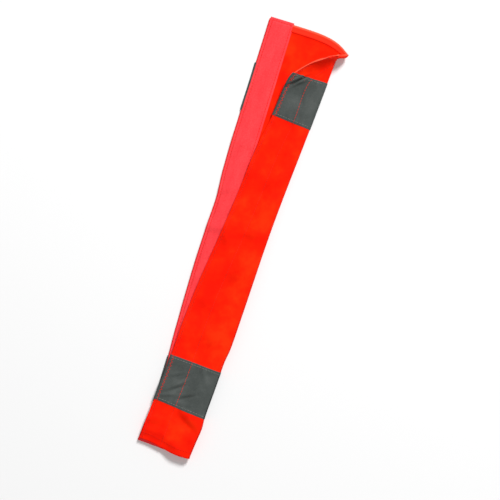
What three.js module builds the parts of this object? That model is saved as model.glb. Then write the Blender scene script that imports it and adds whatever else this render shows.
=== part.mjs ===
// High-visibility wrap-round sleeve, lying flat and peeled open from its mouth.
// One cloth panel is folded lengthwise along a crease. Its two long edges carry a loop tape and a hook tape,
// two reflective bands run round it, and every row of stitching is a piece of its own.
// Millimetres. The sleeve lies on z = 0 with its mouth towards +Y.
import * as THREE from 'three';

// ---- Driving dimensions ----
const SLEEVE_LENGTH = 450;       // mouth rim to tail rim
const CLOSED_WIDTH = 55;         // back's edge to the crease where the closure is shut
const CLOTH = 0.6;               // panel thickness
const TAPE_WIDTH = 25;           // hook tape and loop tape
const TAPE = 1.2;                // tape with its pile or hooks
const TAPE_PROUD = 1.5;          // loop tape standing past the mouth rim
const BAND_WIDTH = 50;           // reflective bands
const BAND = 0.4;
const UPPER_BAND_START = 47;     // mouth rim to the upper band
const LOWER_BAND_END = 43;       // lower band to the tail rim
const HEM = 8;                   // hem seam to its rim
const THREAD = 0.4;              // thickness of a stitch row
const SEAM_WIDTH = 1.2;          // width of a straight stitch row
const SEAM_INSET = 2.2;          // a tape's or band's edge to the near side of its stitch row
const ZIGZAG_PITCH = 5;          // one full zigzag along the flap's free edge
const ZIGZAG_WIDTH = 2.6;
const GAP = 0.3;                 // between neighbouring pieces
const FOLD_RADIUS = 3.5;         // half the height and the reach of the rolled crease
const FLAP_RISE = 14;            // distance over which the flap climbs from its tape to the crease
const EDGE_LIFT = 10;            // height that the peeled flap's free edge gains towards the mouth rim
const EDGE_LIFT_LENGTH = 100;    // stretch over which it gains it
const CREASE_LIFT = 4.5;         // height that the rolled crease gains at the mouth rim
const CREASE_LIFT_LENGTH = 60;
const BEAK_LENGTH = 30;          // stretch at the mouth where the crease flares into a beak
const BEAK_REACH = 9.4;          // how far the beak stands out
const BEAK_DROP = 12.7;          // how far its tip lies towards the tail
const BEAK_SHARPNESS = 6;        // how late along the rim the beak starts to turn
const BEAK_ROLL = 4;             // extra reach of the rolled crease at the mouth
const TAIL_BEND = 3.6;           // sideways bend of the tail
const TAIL_BEND_START = 350;
const TAIL_BEND_LENGTH = 100;
const STRIP_MARGIN = 7;          // hinge line to where the creased strip of cloth starts, on each layer
const HINGE_STATION = 30;        // the hinge line passes through the crease's middle this far from each rim

// The closure parts towards the mouth. Stations: [distance from the mouth rim, offset].
// How much further out the crease lies than where the closure is shut.
const CREASE_SPREAD = [[0, 22.5], [95, 16.2], [200, 8.7], [300, 5.2], [380, 0.5], [450, 0]];
// Where the flap's free edge lies: [station, distance from the back's edge, shift towards the mouth].
const FREE_EDGE = [
  [0, 77, -17.5], [12, 67, -11.5], [28, 53.7, -4.2], [39, 44.8, -1.6], [50, 38, 0.8], [62, 34.8, 2.2],
  [97, 31, 4], [132, 25.2, 4.3], [205, 18, 3.6], [280, 8, 3.4], [350, 1.6, 1.6], [400, 0.3, 1], [450, 0.3, 0],
];

// ---- Worked out from the driving dimensions ----
const LAYER = CLOTH / 2 + GAP;                        // panel's middle to the near face of what is sewn on it
const BACK_HEIGHT = LAYER + BAND;                     // the bands of the back rest on z = 0
const FLAP_HEIGHT = BACK_HEIGHT + 2 * (LAYER + TAPE) + GAP;  // hook tape lying on loop tape
const LOWER_BAND_START = SLEEVE_LENGTH - LOWER_BAND_END - BAND_WIDTH;
const OVER_BAND = LAYER + BAND + GAP;                 // panel's middle to a stitch row on a band
const GROOVE = THREAD + GAP;                          // depth of the loop tape's pressed-down stitch rows

// ---- Shape of the panel ----
const smooth = (t) => {
  const c = Math.min(Math.max(t, 0), 1);
  return c * c * (3 - 2 * c);
};

// Smooth curve through stations [position, ...values], flat beyond its ends.
function along(stations, v, column = 1) {
  const last = stations.length - 1;
  if (v <= stations[0][0]) return stations[0][column];
  if (v >= stations[last][0]) return stations[last][column];
  const i = stations.findIndex((s) => s[0] > v) - 1;
  const slope = (k) => {
    const a = stations[Math.max(k - 1, 0)];
    const b = stations[Math.min(k + 1, last)];
    return (b[column] - a[column]) / (b[0] - a[0]);
  };
  const [p, q] = [stations[i], stations[i + 1]];
  const step = q[0] - p[0];
  const t = (v - p[0]) / step;
  const t2 = t * t;
  const t3 = t2 * t;
  return (2 * t3 - 3 * t2 + 1) * p[column] + (t3 - 2 * t2 + t) * step * slope(i)
    + (3 * t2 - 2 * t3) * q[column] + (t3 - t2) * step * slope(i + 1);
}

const share = (v, length) => Math.max(1 - v / length, 0);
const tailBend = (v) => TAIL_BEND * Math.max((v - TAIL_BEND_START) / TAIL_BEND_LENGTH, 0) ** 2;

// The cross-section at v, the distance from the mouth rim: where the back ends, how the crease rolls over,
// and where the flap's free edge lies.
function section(v) {
  const beak = share(v, BEAK_LENGTH) ** 2;
  const creaseX = CLOSED_WIDTH + along(CREASE_SPREAD, v) + BEAK_REACH * beak;
  const reach = FOLD_RADIUS + BEAK_ROLL * share(v, 2 * BEAK_LENGTH);
  const backWidth = creaseX - reach;
  const edgeX = along(FREE_EDGE, v);
  const flapWidth = Math.max(backWidth - edgeX, 1);
  const edgeHeight = FLAP_HEIGHT + EDGE_LIFT * share(v, EDGE_LIFT_LENGTH) ** 2;
  const height = FOLD_RADIUS + CREASE_LIFT / 2 * share(v, CREASE_LIFT_LENGTH) ** 2;
  const topHeight = BACK_HEIGHT + 2 * height;
  return {
    creaseX, reach, height, backWidth, edgeX, flapWidth, edgeHeight, topHeight,
    drop: BEAK_DROP * beak,
    edgeShift: along(FREE_EDGE, v, 2),
    rollLength: Math.PI * Math.sqrt((reach ** 2 + height ** 2) / 2),
  };
}

// A point of the panel's middle surface. t runs from 0 at the back's edge to 1 where the crease starts to roll,
// 2 where it ends and 3 at the flap's free edge.
function panelPoint(t, v) {
  const s = section(v);
  const rowAt = (x) => s.drop * Math.max(x / s.creaseX, 0) ** BEAK_SHARPNESS;
  const flapRow = (x) => s.drop + (-s.edgeShift - s.drop) * (s.creaseX - x) / (s.creaseX - s.edgeX);
  let x, z, down;
  if (t <= 1) {
    x = t * s.backWidth;
    z = BACK_HEIGHT;
    down = rowAt(x);
  } else if (t <= 2) {
    const angle = (t - 1) * Math.PI;
    x = s.backWidth + s.reach * Math.sin(angle);
    z = BACK_HEIGHT + s.height * (1 - Math.cos(angle));
    down = t <= 1.5 ? rowAt(x) : flapRow(x);
  } else {
    const fromEdge = (3 - t) * s.flapWidth;
    x = s.backWidth - (t - 2) * (s.backWidth - s.edgeX);
    const rise = Math.min(FLAP_RISE, s.flapWidth);
    const flat = Math.min(s.flapWidth / 2, s.flapWidth - rise);
    const climb = smooth((fromEdge - flat) / rise);
    z = s.edgeHeight + (s.topHeight - s.edgeHeight) * climb;
    down = flapRow(x);
  }
  return new THREE.Vector3(x - tailBend(v), -(v + down), z);
}

// The same point moved off the cloth, outwards where offset is positive.
function offsetPoint(t, v, offset) {
  const h = 0.001;
  const du = panelPoint(Math.min(t + h, 3), v).sub(panelPoint(Math.max(t - h, 0), v));
  const dv = panelPoint(t, v + 1).sub(panelPoint(t, v - 1));
  const normal = du.cross(dv).normalize();
  return panelPoint(t, v).addScaledVector(normal, offset);
}

// t at a distance from the back's edge, and from the flap's free edge, measured along the cloth.
const fromBackEdge = (x, v) => x / section(v).backWidth;
function fromFreeEdge(q, v) {
  const s = section(v);
  return q <= s.flapWidth ? 3 - q / s.flapWidth : 2 - (q - s.flapWidth) / s.rollLength;
}

// ---- Hinge line between the back and the flap ----
function rollCentre(v) {
  const s = section(v);
  return s.creaseX - FOLD_RADIUS - tailBend(v);
}
const HINGE_MOUTH = rollCentre(HINGE_STATION);
const HINGE_TAIL = rollCentre(SLEEVE_LENGTH - HINGE_STATION);
const HINGE_LEAN = (HINGE_MOUTH - HINGE_TAIL) / (SLEEVE_LENGTH - 2 * HINGE_STATION);
const hingeX = (v) => HINGE_MOUTH - HINGE_LEAN * (v - HINGE_STATION);
const splitX = (v) => hingeX(v) - STRIP_MARGIN + tailBend(v);
const backSplit = (v) => fromBackEdge(splitX(v), v);
function flapSplit(v) {
  const s = section(v);
  return 2 + (s.backWidth - splitX(v)) / (s.backWidth - s.edgeX);
}

// ---- Solids that follow the panel ----
// A closed sheet between two offsets, over a patch of the panel. tAt(a, v) gives t for a from 0 to 1,
// rows are its stations in v, columns its stations in a, and inner and outer give the two faces' offsets.
function sheet(tAt, rows, columns, inner, outer) {
  const nc = columns.length;
  const nr = rows.length;
  const points = [];
  for (const face of [inner, outer]) {
    for (const v of rows) {
      for (const a of columns) points.push(offsetPoint(tAt(a, v), v, face(a, v)));
    }
  }
  const id = (layer, r, c) => layer * nr * nc + r * nc + c;
  const index = [];
  const quad = (a, b, c, d) => index.push(a, b, c, a, c, d);
  for (let r = 0; r < nr - 1; r++) {
    for (let c = 0; c < nc - 1; c++) {
      quad(id(1, r, c), id(1, r, c + 1), id(1, r + 1, c + 1), id(1, r + 1, c));
      quad(id(0, r, c), id(0, r + 1, c), id(0, r + 1, c + 1), id(0, r, c + 1));
    }
  }
  for (let c = 0; c < nc - 1; c++) {
    quad(id(0, 0, c), id(0, 0, c + 1), id(1, 0, c + 1), id(1, 0, c));
    quad(id(0, nr - 1, c + 1), id(0, nr - 1, c), id(1, nr - 1, c), id(1, nr - 1, c + 1));
  }
  for (let r = 0; r < nr - 1; r++) {
    quad(id(0, r + 1, 0), id(0, r, 0), id(1, r, 0), id(1, r + 1, 0));
    quad(id(0, r, nc - 1), id(0, r + 1, nc - 1), id(1, r + 1, nc - 1), id(1, r, nc - 1));
  }
  const geometry = new THREE.BufferGeometry();
  geometry.setAttribute('position', new THREE.Float32BufferAttribute(points.flatMap((p) => p.toArray()), 3));
  geometry.setIndex(index);
  geometry.computeVertexNormals();
  return geometry;
}

const steps = (from, to, size) => {
  const count = Math.max(Math.ceil(Math.abs(to - from) / size), 1);
  return Array.from({ length: count + 1 }, (_, i) => from + (to - from) * i / count);
};
const parts = (count) => steps(0, 1, 1 / count);
const level = (value) => () => value;

// Rows close together at the mouth, where the cloth curls, and wider further down.
const ROW = 20;
const MOUTH_ROW = 5;
function rowsBetween(from, to) {
  const bend = 2 * BEAK_LENGTH;
  if (to <= bend) return steps(from, to, MOUTH_ROW);
  if (from >= bend) return steps(from, to, ROW);
  return [...steps(from, bend, MOUTH_ROW), ...steps(bend, to, ROW).slice(1)];
}

// ---- Materials ----
const cloth = new THREE.MeshStandardMaterial({ color: 0xff2a06, roughness: 0.85, metalness: 0 });
const reflective = new THREE.MeshStandardMaterial({ color: 0x4d524f, roughness: 0.5, metalness: 0.1 });
const loopPile = new THREE.MeshStandardMaterial({ color: 0xff4b50, roughness: 0.95, metalness: 0 });
const hooks = new THREE.MeshStandardMaterial({ color: 0xff4030, roughness: 0.6, metalness: 0 });
const redThread = new THREE.MeshStandardMaterial({ color: 0xc23a30, roughness: 0.7, metalness: 0 });
const greyThread = new THREE.MeshStandardMaterial({ color: 0x8b908c, roughness: 0.7, metalness: 0 });

const sleeve = new THREE.Group();
function add(name, material, geometry) {
  const mesh = new THREE.Mesh(geometry, material);
  mesh.name = name;
  sleeve.add(mesh);
}

// ---- Cloth panel ----
const MOUTH_END = UPPER_BAND_START - GAP;      // the curled mouth of the flap ends at the upper band
const clothFaces = [level(-CLOTH / 2), level(CLOTH / 2)];
const backAcross = (a, v) => a * backSplit(v);
const foldAcross = (from, to) => (a, v) => {
  const start = backSplit(v) + from / section(v).backWidth;
  const end = flapSplit(v) - to / section(v).flapWidth;
  return start + (end - start) * a;
};
const flapAcross = (a, v) => flapSplit(v) + (3 - flapSplit(v)) * a;
const mouthAcross = (a, v) => {
  const start = backSplit(v) + GAP / section(v).backWidth;
  return start + (3 - start) * a;
};
const all = rowsBetween(0, SLEEVE_LENGTH);
const belowMouth = rowsBetween(UPPER_BAND_START, SLEEVE_LENGTH);

add('shell_back', cloth, sheet(backAcross, all, parts(6), ...clothFaces));
add('shell_fold', cloth, sheet(foldAcross(GAP, GAP), belowMouth, parts(14), ...clothFaces));
add('shell_flap', cloth, sheet(flapAcross, belowMouth, parts(16), ...clothFaces));
add('shell_mouth', cloth, sheet(mouthAcross, rowsBetween(0, MOUTH_END), parts(32), ...clothFaces));

// ---- Hook-and-loop tapes ----
const seamRows = [SEAM_INSET, TAPE_WIDTH - SEAM_INSET - SEAM_WIDTH];
const STEP = 0.02;                              // a groove wall's slope, as a share of the tape's width
function tapeColumns() {
  const edges = [];
  for (const near of seamRows) {
    const [a, b] = [(near - GAP) / TAPE_WIDTH, (near + SEAM_WIDTH + GAP) / TAPE_WIDTH];
    edges.push(a - STEP, a, b, b + STEP);
  }
  return [0, ...edges, 1];
}
const grooved = (a) => seamRows.some((near) => {
  const x = a * TAPE_WIDTH;
  return x > near - GAP - 0.01 && x < near + SEAM_WIDTH + GAP + 0.01;
});
const tapeInner = (a) => -LAYER - TAPE + (grooved(a) ? GROOVE : 0);
const onBack = (x0, x1) => (a, v) => fromBackEdge(x0 + (x1 - x0) * a, v);
const onFlap = (q0, q1) => (a, v) => fromFreeEdge(q1 + (q0 - q1) * a, v);
add('loop_tape', loopPile,
  sheet(onBack(0, TAPE_WIDTH), rowsBetween(-TAPE_PROUD, SLEEVE_LENGTH), tapeColumns(), tapeInner, level(-LAYER)));
add('hook_tape', hooks,
  sheet(onFlap(0, TAPE_WIDTH), belowMouth, parts(8), level(-LAYER - TAPE), level(-LAYER)));
// At the mouth the tape ends at the crease where the curled flap is narrower than the tape.
const mouthTape = (a, v) => {
  const s = section(v);
  return fromFreeEdge(Math.min(TAPE_WIDTH, s.flapWidth + s.rollLength / 2) * (1 - a), v);
};
add('hook_tape_mouth', hooks,
  sheet(mouthTape, rowsBetween(0, MOUTH_END), parts(16), level(-LAYER - TAPE), level(-LAYER)));

// ---- Reflective bands ----
const bandFaces = [level(LAYER), level(LAYER + BAND)];
const bands = [['upper', UPPER_BAND_START + GAP], ['lower', LOWER_BAND_START]];
for (const [name, start] of bands) {
  const rows = rowsBetween(start, start + BAND_WIDTH - (name === 'upper' ? GAP : 0));
  add(`${name}_band_back`, reflective, sheet(backAcross, rows, parts(4), ...bandFaces));
  add(`${name}_band_fold`, reflective, sheet(foldAcross(GAP, GAP), rows, parts(14), ...bandFaces));
  add(`${name}_band_flap`, reflective, sheet(flapAcross, rows, parts(16), ...bandFaces));
}

// ---- Stitch rows ----
const insideBack = [level(-LAYER - THREAD), level(-LAYER)];
// Inside the back, a cross seam runs from beside the loop tape to the creased strip.
const besideTape = (a, v) => {
  const start = fromBackEdge(TAPE_WIDTH + GAP, v);
  return start + (backSplit(v) - start) * a;
};

// Loop tape: two long rows sunk in its pressed-down grooves.
['outer', 'inner'].forEach((side, i) => {
  const near = seamRows[i];
  add(`loop_tape_${side}_seam`, redThread, sheet(onBack(near, near + SEAM_WIDTH),
    rowsBetween(SEAM_INSET, SLEEVE_LENGTH - SEAM_INSET), parts(1),
    level(-LAYER - TAPE), level(-LAYER - TAPE + THREAD)));
});

// Hook tape: a zigzag at the free edge and a straight row along its inner side. Both show on the flap's outer
// face and step up over the bands.
const overBands = (v) => {
  const near = bands.some(([, start]) => v > start - ROW / 2 && v < start + BAND_WIDTH + ROW / 2);
  return near ? OVER_BAND : LAYER;
};
const flapSeamEnd = SLEEVE_LENGTH - SEAM_INSET;
const zigzag = (a, v) => {
  const turn = Math.round((v - belowMouth[0]) / (ZIGZAG_PITCH / 2)) % 2;
  const middle = SEAM_INSET + turn * (ZIGZAG_WIDTH - SEAM_WIDTH);
  return fromFreeEdge(middle + SEAM_WIDTH * (1 - a), v);
};
const flapSeamFaces = [(a, v) => overBands(v), (a, v) => overBands(v) + THREAD];
add('hook_tape_edge_seam', redThread,
  sheet(zigzag, steps(UPPER_BAND_START, flapSeamEnd, ZIGZAG_PITCH / 2), parts(1), ...flapSeamFaces));
add('hook_tape_inner_seam', redThread,
  sheet(onFlap(seamRows[1], seamRows[1] + SEAM_WIDTH), rowsBetween(UPPER_BAND_START, flapSeamEnd), parts(1),
    ...flapSeamFaces));

const CROSS_COLUMN = 0.12;                      // a cross seam's column width, as a share of its length
// A cross seam on the flap's outer face runs from the creased strip to beside the zigzag, and steps over the
// hook tape's inner row.
function flapCrossSeam(name, material, rows, offset) {
  const v = rows[0];
  const far = (3 - flapSplit(v)) * section(v).flapWidth;
  const near = SEAM_INSET + ZIGZAG_WIDTH + GAP;
  const toShare = (q) => (far - q) / (far - near);
  const crossing = [seamRows[1] + SEAM_WIDTH + GAP, seamRows[1] - GAP].map(toShare);
  const startsBefore = crossing[0] > 2 * STEP;
  const before = startsBefore ? steps(0, crossing[0] - STEP, CROSS_COLUMN) : [];
  const raised = [startsBefore ? crossing[0] : 0, crossing[1]];
  const columns = [...before, ...raised, ...steps(crossing[1] + STEP, 1, CROSS_COLUMN)];
  const lift = (a) => (raised.includes(a) ? THREAD + GAP : 0);
  const across = (a, row) => fromFreeEdge(far + (near - far) * a, row);
  add(name, material, sheet(across, rows, columns, (a) => offset + lift(a), (a) => offset + lift(a) + THREAD));
}

// Bands: two cross rows each, inside the back beside the loop tape and on the flap's outer face.
for (const [name, start] of bands) {
  const ends = [['mouth_side', start + SEAM_INSET], ['tail_side', start + BAND_WIDTH - SEAM_INSET - SEAM_WIDTH]];
  for (const [side, at] of ends) {
    const rows = [at, at + SEAM_WIDTH];
    add(`${name}_band_${side}_seam_back`, greyThread, sheet(besideTape, rows, parts(3), ...insideBack));
    flapCrossSeam(`${name}_band_${side}_seam_flap`, greyThread, rows, OVER_BAND);
  }
}

// Hems: one cross row at the mouth and one at the tail.
const mouthHem = [HEM - SEAM_WIDTH, HEM];
const tailHem = [SLEEVE_LENGTH - HEM, SLEEVE_LENGTH - HEM + SEAM_WIDTH];
add('mouth_hem_seam_back', redThread, sheet(besideTape, mouthHem, parts(4), ...insideBack));
add('tail_hem_seam_back', redThread, sheet(besideTape, tailHem, parts(3), ...insideBack));
flapCrossSeam('tail_hem_seam_flap', redThread, tailHem, LAYER);

// The origin is the middle of the part's box, on the plane it lies on.
const box = new THREE.Box3().setFromObject(sleeve, true);
sleeve.position.set(-(box.min.x + box.max.x) / 2, -(box.min.y + box.max.y) / 2, -box.min.z);
sleeve.updateMatrixWorld(true);

export default sleeve;
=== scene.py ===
import math

import bpy
import numpy as np
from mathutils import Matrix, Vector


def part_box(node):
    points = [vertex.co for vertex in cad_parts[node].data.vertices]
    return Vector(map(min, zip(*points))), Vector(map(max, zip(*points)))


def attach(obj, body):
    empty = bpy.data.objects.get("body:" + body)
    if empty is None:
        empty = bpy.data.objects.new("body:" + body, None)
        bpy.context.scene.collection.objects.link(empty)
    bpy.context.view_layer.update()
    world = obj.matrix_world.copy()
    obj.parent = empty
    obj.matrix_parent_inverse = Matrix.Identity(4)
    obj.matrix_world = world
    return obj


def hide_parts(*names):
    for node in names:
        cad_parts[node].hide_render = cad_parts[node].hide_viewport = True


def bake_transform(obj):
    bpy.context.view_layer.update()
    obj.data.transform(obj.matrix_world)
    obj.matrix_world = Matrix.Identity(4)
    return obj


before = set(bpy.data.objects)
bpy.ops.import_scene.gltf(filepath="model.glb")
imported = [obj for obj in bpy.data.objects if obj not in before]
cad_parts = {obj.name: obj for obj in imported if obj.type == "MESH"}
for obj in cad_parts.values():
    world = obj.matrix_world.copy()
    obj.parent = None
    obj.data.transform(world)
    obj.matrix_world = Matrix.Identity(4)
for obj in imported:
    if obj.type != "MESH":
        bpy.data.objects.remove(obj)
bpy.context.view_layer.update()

MM = 0.001

# ---- Sizes that the frame was made with, in millimetres. Where the looks differ, a comment says so ----
LENGTH = 450
CLOSED_WIDTH = 55
CLOTH = 0.6
TAPE_WIDTH = 25
TAPE_PROUD = 1.5               # the loop tape's end standing past the mouth rim
BAND_WIDTH = 50
UPPER_BAND = 47.3              # from the mouth rim to each band; the frame has 47 here
LOWER_BAND = 357
HEM = 8
FOLD_RADIUS = 3.5
FLAP_RISE = 14                 # the width over which the flap comes down from its crease
EDGE_LIFT, EDGE_LIFT_LENGTH = 10, 100
CREASE_LIFT, CREASE_LIFT_LENGTH = 4.5, 60
# The frame's beak falls away more evenly: it is 30 long, reaches 9.4 and drops 12.7.
BEAK_LENGTH, BEAK_REACH, BEAK_DROP, BEAK_SHARPNESS = 24, 9.0, 13.4, 6
BEAK_ROLL, BEAK_ROLL_LENGTH = 4, 60
TAIL_BEND, TAIL_BEND_START, TAIL_BEND_LENGTH = 3.6, 350, 100
BACK_HEIGHT = 1.0
FLAP_HEIGHT = 4.9

# The crease: (distance from the mouth rim, how far it stands out past the closed width). Past 300 it has more
# stations than in the frame.
CREASE_SPREAD = [
    (0, 22.5), (95, 16.2), (200, 8.7), (300, 5.2), (332, 3.9), (346, 1.9), (380, 0.5), (404, 0), (417, 1.2),
    (432, 0.3), (450, -0.4),
]
# The flap's free edge: (distance from the mouth rim, distance from the back's edge, shift towards the mouth). Past
# 205 it lies a little further in than in the frame.
FREE_EDGE = [
    (0, 77, -17.5), (12, 67, -11.5), (28, 53.7, -4.2), (39, 44.8, -1.6), (50, 38, 0.8), (62, 34.8, 2.2),
    (97, 31, 4), (132, 25.2, 4.3), (205, 18, 3.6), (280, 8.6, 3.4), (320, 5.2, 2.4), (352, 3.8, 1.6),
    (380, 2.6, 1.2), (404, 1.3, 1), (425, 0.5, 0.6), (450, 0.7, 0),
]
# ---- Details that only the looks have ----
EDGE_OUT = 0.8                 # the back's turned edge standing out beside the loop tape
TAPE_INSET = 0.8               # the hook tape set back from the flap's free edge
TAPE_GROUND = 0.55             # a tape's woven ground, without its loops or hooks
SEAM_INSET = 2.4               # a stitch row's distance from the edge it holds
HEM_STEP = 0.8                 # the second layer of a turned hem, with the cut edge folded under it
HEM_SEAM = HEM - 1.2           # a hem's stitch row, from the rim
BAND = 0.3                     # a band's thickness; the frame has 0.4
NEAR = 0.05                    # clearance between layers sewn on each other
THREAD = 0.5
PITCH = 3.0                    # the length of a straight stitch

# The flap's free edge stands up further towards the mouth, and a little less at the rim itself.
PEEL, PEEL_START, PEEL_LENGTH, PEEL_WIDTH = 8, 95, 85, 26
PEEL_AT_RIM, PEEL_RIM_LENGTH = 0.4, 14

BACK_WAVE, FLAP_WAVE = 0.7, 2.3                  # heights of the soft undulations
CALM_START, CALM_MOUTH, CALM_TAIL = 6, 20, 12    # the flap's undulation comes in over these lengths from the rims
PUCKER, PUCKER_SPREAD = 0.4, 5.0                 # height beside a seam, and how far it reaches from the seam
RIM_RIDGE = 0.3                                  # the fold of a hem at its rim, and the hem's cut edge
BEAD, BEAD_ROLLED = 0.25, 1.0                    # the long edges' extra thickness, and where they have rolled up
BEAD_END, BEAD_FADE = 62, 25                     # the flap's edge has rolled up as far as here from the mouth rim
TAIL_WAVE, TAIL_WAVE_START, TAIL_WAVE_LENGTH = 1.2, 395, 50

# The back's edge, which wanders a little where the cloth has relaxed: (distance from the mouth rim, inwards).
EDGE_WANDER = [
    (0, 0.6), (60, 0.1), (120, -0.5), (160, -0.2), (188, 1.5), (215, 0.6), (260, -0.3), (330, 0.6), (358, 1.6),
    (403, 1.9), (430, 0.5), (450, 0.2),
]
# The tail's free corner, drawn back towards the mouth: (distance from the mouth rim, on the flap, on the back).
TAIL_SLANT = [(300, 0, 0), (357, 1.6, 0.6), (407, 4.4, 2.2), (450, 5.4, 3.4)]

MOUTH_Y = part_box("shell_back")[1][1] / MM
BACK_EDGE_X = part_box("upper_band_back")[0][0] / MM


def smooth(t):
    c = np.clip(t, 0, 1)
    return c * c * (3 - 2 * c)


def along(curve, v, column=1):
    """A smooth curve through the rows of curve, flat beyond its ends."""
    table = np.array(curve, float)
    x, y = table[:, 0], table[:, column]
    before, after = np.r_[0, np.arange(len(x) - 1)], np.r_[np.arange(1, len(x)), len(x) - 1]
    slope = (y[after] - y[before]) / (x[after] - x[before])
    v = np.clip(v, x[0], x[-1])
    i = np.clip(np.searchsorted(x, v, side="right") - 1, 0, len(x) - 2)
    step = x[i + 1] - x[i]
    t = (v - x[i]) / step
    return ((2 * t**3 - 3 * t**2 + 1) * y[i] + (t**3 - 2 * t**2 + t) * step * slope[i]
            + (3 * t**2 - 2 * t**3) * y[i + 1] + (t**3 - t**2) * step * slope[i + 1])


def share(v, length):
    """1 at the mouth rim, falling evenly to 0 at length."""
    return np.maximum(1 - v / length, 0)


class Section:
    """The sleeve's cross-section at v, the distance from the mouth rim."""

    def __init__(self, v):
        beak = smooth(share(v, BEAK_LENGTH))
        self.crease = CLOSED_WIDTH + along(CREASE_SPREAD, v) + BEAK_REACH * beak
        self.reach = FOLD_RADIUS + BEAK_ROLL * share(v, BEAK_ROLL_LENGTH)
        self.back_width = self.crease - self.reach
        self.edge = along(FREE_EDGE, v)
        self.edge_shift = along(FREE_EDGE, v, 2)
        self.flap_width = np.maximum(self.back_width - self.edge, 1)
        self.edge_height = FLAP_HEIGHT + EDGE_LIFT * share(v, EDGE_LIFT_LENGTH) ** 2
        self.height = FOLD_RADIUS + CREASE_LIFT / 2 * share(v, CREASE_LIFT_LENGTH) ** 2
        self.top = BACK_HEIGHT + 2 * self.height
        self.drop = BEAK_DROP * beak
        self.roll_length = math.pi * np.sqrt((self.reach**2 + self.height**2) / 2)
        self.back_to_crease = self.back_width + self.roll_length / 2
        self.flap_to_crease = self.flap_width + self.roll_length / 2


# ---- How the cloth lies: soft undulations, puckers along the bands' seams, and single creases ----
def undulation(x, v, phase):
    """Between 0 and 1, with waves about 30 to 60 mm long."""
    a = np.sin(v / 9.1 + x / 17.0 + phase) + np.sin(v / 6.7 - x / 11.0 + 2.1 * phase)
    b = np.sin(v / 14.3 + x / 7.9 + 0.7 * phase) + np.sin(v / 5.3 + x / 23.0 + 3.3 * phase)
    return 0.5 + (a + b) / 8


def pucker(x, v):
    """Short waves along each band's seams."""
    total = 0
    for start in (UPPER_BAND, LOWER_BAND):
        for seam, phase in ((start + SEAM_INSET, 0.0), (start + BAND_WIDTH - SEAM_INSET, 1.7)):
            near = np.exp(-(((v - seam) / PUCKER_SPREAD) ** 2))
            total = total + near * (0.5 + 0.5 * np.sin(x / 1.25 + phase + 0.8 * np.sin(x / 5.1 + phase)))
    return total


# Single creases on the flap: distance from the free edge, from the mouth rim, direction in degrees, length, width
# and height. A negative height is a dent.
FLAP_CREASES = [
    # the upper band, pulled askew at the corner where the closure is peeled
    (6, 54, -58, 9, 1.0, 2.2), (9, 55.5, -60, 9, 0.9, -1.7), (11.5, 55, -56, 8, 0.9, 1.9),
    (4, 60, -62, 9, 1.0, -1.3), (15, 53, -50, 7, 1.0, 0.8), (22, 64, 75, 14, 3.0, 0.6),
    # the lower band
    (17, 383, -44, 10, 1.5, 1.8), (19, 387, -40, 9, 1.2, -1.1), (29, 390, -36, 9, 1.4, 1.2),
    (31, 393, -36, 8, 1.1, -0.8), (12, 374, -30, 8, 1.5, 0.8), (22, 371, -48, 7, 1.3, 0.7),
    (10, 398, -25, 9, 1.3, 0.9), (27, 401, -10, 9, 2.2, 0.7), (40, 368, 55, 12, 2.5, 0.5),
    # the cloth below it
    (41, 420, 22, 12, 4.5, -3.0), (38, 410, 22, 12, 4.5, 1.3), (8, 433, -8, 9, 3.0, -1.1),
    (9, 425, -8, 10, 3.0, 0.7), (30, 440, 20, 18, 4.0, 1.0),
    # the long stretch between the bands
    (3, 208, 70, 14, 4.0, 1.4), (6, 226, 60, 12, 4.0, 1.2), (20, 300, 40, 30, 7.0, 0.9),
    (28, 158, 145, 30, 6.0, 0.9), (24, 236, 30, 34, 8.0, 0.9), (30, 215, 160, 14, 3.5, 0.9),
    (38, 258, 100, 16, 3.5, 0.7),
]
# Ripples that both layers share, the same numbers with the distance taken from the back's edge. They only lift.
RIPPLES = [
    (10, 217, -12, 20, 5.5, 1.7), (8, 178, -20, 16, 4.0, 0.8), (20, 243, -15, 20, 5.0, 0.8),
    (14, 128, 8, 24, 7.0, 0.8), (45, 330, 30, 16, 6.0, 0.8), (30, 262, -20, 26, 8.0, 0.8), (6, 88, -6, 18, 6.0, 0.6),
]


def creases(table, q, v):
    total = 0
    for q0, v0, turn, length, width, height in table:
        c, s = math.cos(math.radians(turn)), math.sin(math.radians(turn))
        run, off = (q - q0) * c + (v - v0) * s, (v - v0) * c - (q - q0) * s
        total = total + height * np.exp(-((run / length) ** 2) - (off / width) ** 2)
    return total


def lie(t, x, from_edge, v):
    """How much higher the cloth lies than the plain cross-section."""
    upper = smooth(t - 1)
    calm = smooth((v - CALM_START) / CALM_MOUTH) * smooth((LENGTH - v) / CALM_TAIL)
    peel = smooth((PEEL_START - v) / PEEL_LENGTH) * (1 - smooth(from_edge / PEEL_WIDTH))
    peel = peel * (PEEL_AT_RIM + (1 - PEEL_AT_RIM) * smooth(v / PEEL_RIM_LENGTH))
    flap = PEEL * peel + FLAP_WAVE * undulation(x, v, 2.6) * calm + creases(FLAP_CREASES, from_edge, v)
    puckers = PUCKER * pucker(x, v) * np.where(t < 1.2, 0.5, 1)
    return BACK_WAVE * undulation(x, v, 0.4) + creases(RIPPLES, x, v) + puckers + upper * flap


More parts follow.
